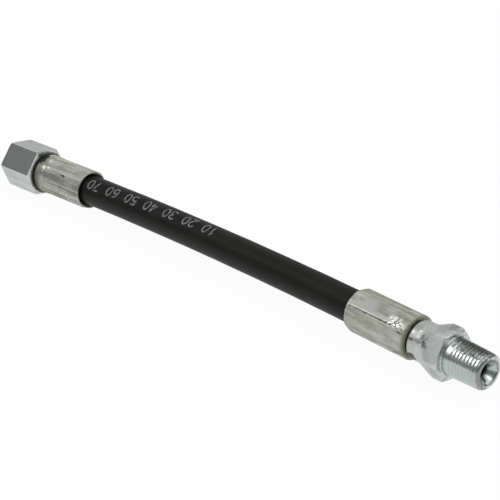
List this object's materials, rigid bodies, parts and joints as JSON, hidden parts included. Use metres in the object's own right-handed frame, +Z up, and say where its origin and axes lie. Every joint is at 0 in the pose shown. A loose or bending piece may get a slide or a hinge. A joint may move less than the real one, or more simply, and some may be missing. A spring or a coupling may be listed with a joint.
{
  "type": "hydraulic hose assembly",
  "caption": "Short rubber hydraulic hose with crimped ferrules, a hexagon swivel nut at one end and a fixed hexagon with a taper pipe thread at the other.",
  "frame": {"origin": "on the swivel fitting's axis, at the open face of the swivel nut", "axes": "+X along the swivel fitting's axis, from the nut's open face into the hose; +Z up; the hose's slight bend turns it towards -Y"},
  "size_m": [0.2667, 0.0326, 0.0204],
  "materials": {
    "bright_zinc": "bright zinc plating on turned and drawn steel",
    "stem_zinc": "satin zinc plating on turned steel",
    "ferrule_zinc": "pale yellowish zinc plating, marked by the crimping dies",
    "spring_wire": "drawn spring steel wire",
    "braid_wire": "brass coated steel wire braid",
    "cover_rubber": "smooth satin black synthetic rubber",
    "tube_rubber": "smooth black nitrile rubber"
  },
  "bodies": {
    "hose_assembly": {"swivel_stem": "bright_zinc", "nut_retaining_wire": "spring_wire", "swivel_ferrule": "ferrule_zinc", "inner_tube": "tube_rubber", "wire_braid": "braid_wire", "outer_cover": "cover_rubber", "pipe_ferrule": "ferrule_zinc", "pipe_stem": "stem_zinc"},
    "nut_body": {"swivel_nut": "bright_zinc"}
  },
  "joints": [
    {"name": "nut_swivel", "type": "hinge", "parent": "hose_assembly", "child": "nut_body", "pos_m": [0.012, 0, 0], "axis": [1, 0, 0], "continuous": true}
  ]
}
